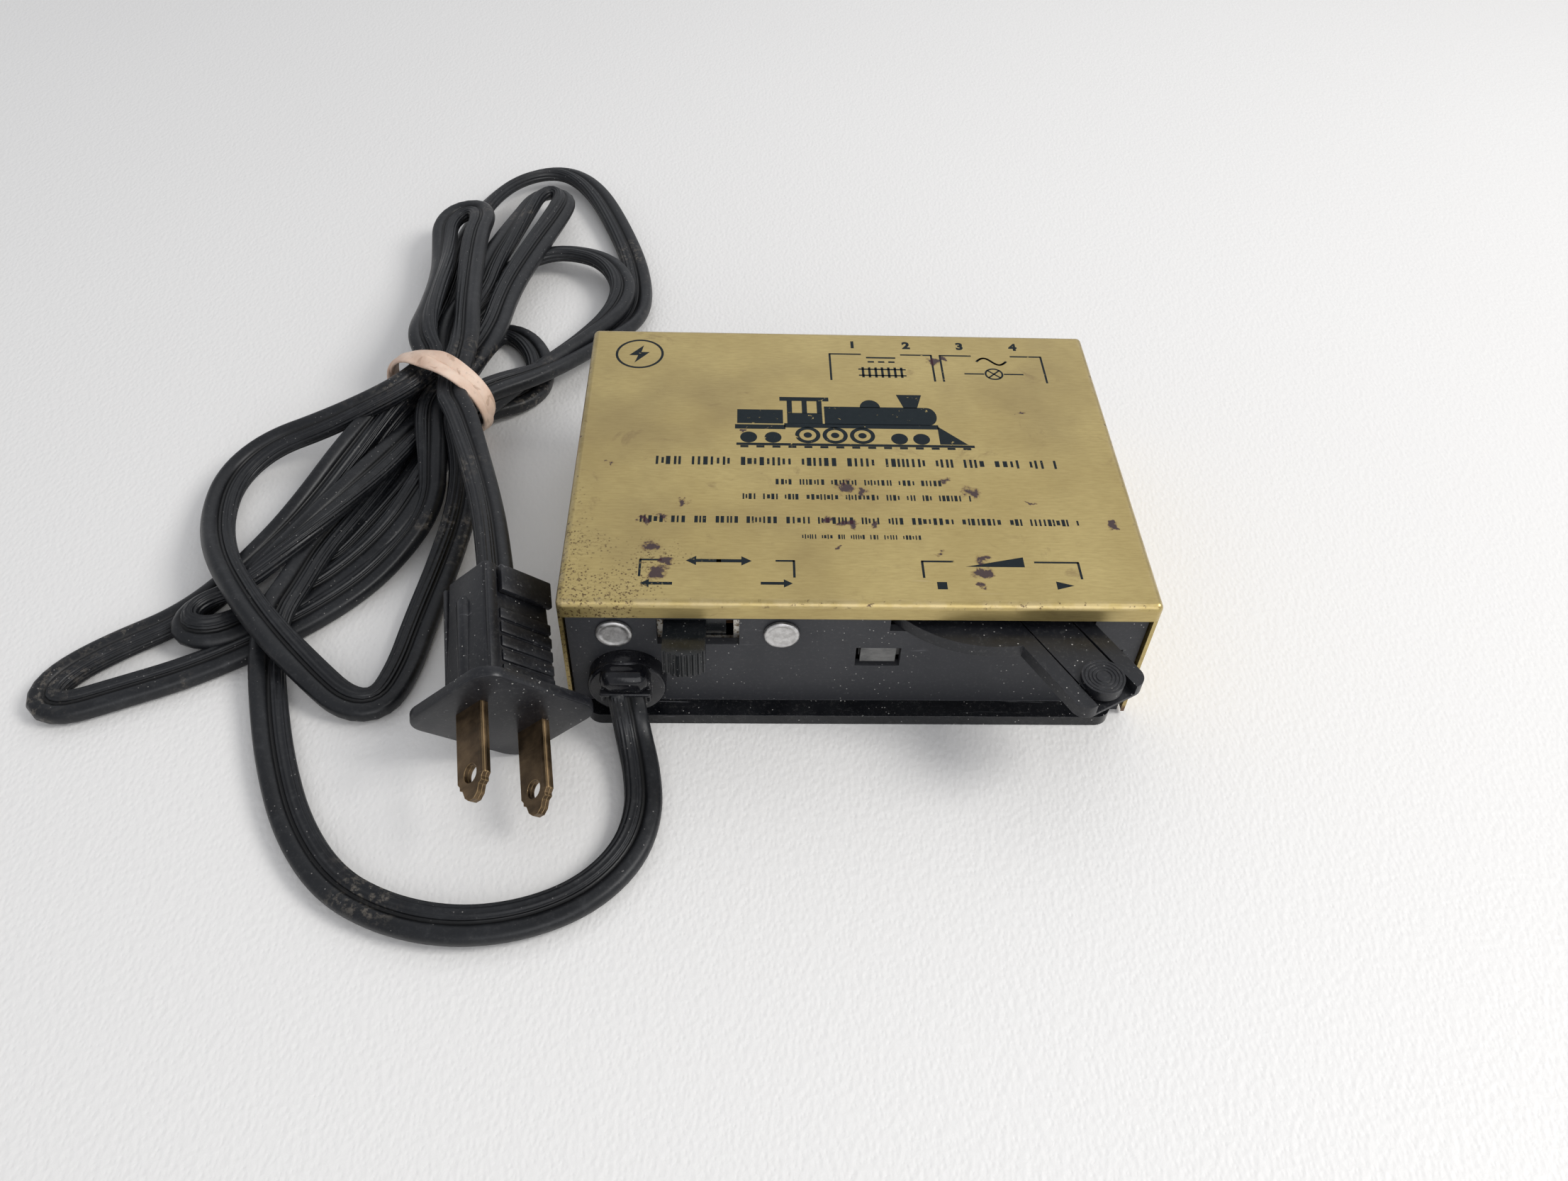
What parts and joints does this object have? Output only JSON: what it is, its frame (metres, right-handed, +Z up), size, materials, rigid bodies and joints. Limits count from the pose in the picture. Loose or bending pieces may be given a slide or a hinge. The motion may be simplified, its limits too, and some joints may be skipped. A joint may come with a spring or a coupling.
{
  "type": "train set controller",
  "caption": "Hobby train power pack: gold steel lid on a black tray, swinging speed lever with a sprung button, slide switch, rear screw terminals, and a tied mains cord with plug.",
  "frame": {"origin": "centre of the lid's footprint, on the surface that the tray stands on", "axes": "+X to the right along the front, +Y towards the back, +Z up"},
  "size_m": [0.1994, 0.2413, 0.03],
  "materials": {
    "gold_lacquer": "gold-tinted lacquer on thin steel, stained and worn",
    "black_moulding": "satin black moulding",
    "relief_moulding": "glossy black nylon",
    "rivet_aluminium": "dull aluminium with light scratches",
    "zinc_steel": "zinc-plated steel, speckled",
    "core_steel": "varnished laminations",
    "screw_steel": "nickel-plated steel",
    "brass": "rolled brass",
    "blade_brass": "tarnished brass",
    "copper_wire": "enamelled wire under varnish",
    "fibre_board": "brown vulcanised fibre",
    "bobbin_nylon": "natural nylon",
    "grey_moulding": "grey moulding",
    "selenium_plate": "painted rectifier plates",
    "cord_jacket": "black flat twin flex, one half ribbed",
    "lead_insulation": "insulated leads",
    "band_rubber": "pale rubber band"
  },
  "bodies": {
    "root": {"base_tray": "black_moulding", "bobbin": "bobbin_nylon", "breaker_base": "fibre_board", "breaker_bimetal": "brass", "breaker_contact": "brass", "cord_front_loop": "cord_jacket", "cord_hank": "cord_jacket", "cord_plug_lead": "cord_jacket", "lid": "gold_lacquer", "lid_screws": "zinc_steel", "mains_leads": "lead_insulation", "output_leads": "lead_insulation", "pivot_bush": "brass", "plug_blade_left": "blade_brass", "plug_blade_right": "blade_brass", "plug_body": "black_moulding", "primary_winding": "copper_wire", "rectifier_bolt": "zinc_steel", "rectifier_bracket": "zinc_steel", "rectifier_plates": "selenium_plate", "rectifier_spacers": "brass", "rheostat_former": "fibre_board", "rheostat_frame": "grey_moulding", "rheostat_screws": "zinc_steel", "rheostat_winding": "copper_wire", "rubber_band": "band_rubber", "secondary_winding": "copper_wire", "strain_relief": "relief_moulding", "strip_rivets": "brass", "switch_bracket": "zinc_steel", "switch_insulator": "fibre_board", "switch_lugs": "brass", "switch_rivets": "rivet_aluminium", "terminal_lugs": "brass", "terminal_strip": "fibre_board", "transformer_core": "core_steel", "transformer_screws": "zinc_steel", "transformer_strap": "zinc_steel"},
    "lever": {"speed_lever": "black_moulding", "pivot_shaft": "zinc_steel", "pivot_clip": "zinc_steel", "wiper_arm": "brass"},
    "button": {"lever_button": "black_moulding"},
    "direction_slider": {"switch_knob": "black_moulding", "switch_contacts": "brass"},
    "washer_1": {"terminal_washer_1": "screw_steel"},
    "screw_1": {"terminal_screw_1": "screw_steel"},
    "washer_2": {"terminal_washer_2": "screw_steel"},
    "screw_2": {"terminal_screw_2": "screw_steel"},
    "washer_3": {"terminal_washer_3": "screw_steel"},
    "screw_3": {"terminal_screw_3": "screw_steel"},
    "washer_4": {"terminal_washer_4": "screw_steel"},
    "screw_4": {"terminal_screw_4": "screw_steel"}
  },
  "joints": [
    {"name": "lever_turn", "type": "hinge", "parent": "root", "child": "lever", "pos_m": [0.023, -0.0204, 0.023], "axis": [0, 0, 1], "range_deg": [-58, 0]},
    {"name": "button_press", "type": "hinge", "parent": "lever", "child": "button", "pos_m": [0.02785, -0.02915, 0.0237], "axis": [0.8746, 0.4848, 0], "range_deg": [0, 1.6], "stiffness_Nm_per_rad": 1.2},
    {"name": "direction_slide", "type": "slide", "parent": "root", "child": "direction_slider", "axis": [1, 0, 0], "range_m": [0, 0.0045]},
    {"name": "washer_1_slide", "type": "slide", "parent": "root", "child": "washer_1", "axis": [0, 1, 0], "range_m": [0, 0.0012]},
    {"name": "screw_1_turn", "type": "hinge", "parent": "washer_1", "child": "screw_1", "pos_m": [0.0024, 0.0395, 0.015], "axis": [0, 1, 0], "range_deg": [0, 540]},
    {"name": "washer_2_slide", "type": "slide", "parent": "root", "child": "washer_2", "axis": [0, 1, 0], "range_m": [0, 0.0012]},
    {"name": "screw_2_turn", "type": "hinge", "parent": "washer_2", "child": "screw_2", "pos_m": [0.0135, 0.0395, 0.015], "axis": [0, 1, 0], "range_deg": [0, 540]},
    {"name": "washer_3_slide", "type": "slide", "parent": "root", "child": "washer_3", "axis": [0, 1, 0], "range_m": [0, 0.0012]},
    {"name": "screw_3_turn", "type": "hinge", "parent": "washer_3", "child": "screw_3", "pos_m": [0.0246, 0.0395, 0.015], "axis": [0, 1, 0], "range_deg": [0, 540]},
    {"name": "washer_4_slide", "type": "slide", "parent": "root", "child": "washer_4", "axis": [0, 1, 0], "range_m": [0, 0.0012]},
    {"name": "screw_4_turn", "type": "hinge", "parent": "washer_4", "child": "screw_4", "pos_m": [0.0357, 0.0395, 0.015], "axis": [0, 1, 0], "range_deg": [0, 540]}
  ],
  "couplings": [
    {"joint": "screw_1_turn", "follows": "washer_1_slide", "rad_per_m": 7850},
    {"joint": "screw_2_turn", "follows": "washer_2_slide", "rad_per_m": 7850},
    {"joint": "screw_3_turn", "follows": "washer_3_slide", "rad_per_m": 7850},
    {"joint": "screw_4_turn", "follows": "washer_4_slide", "rad_per_m": 7850}
  ]
}
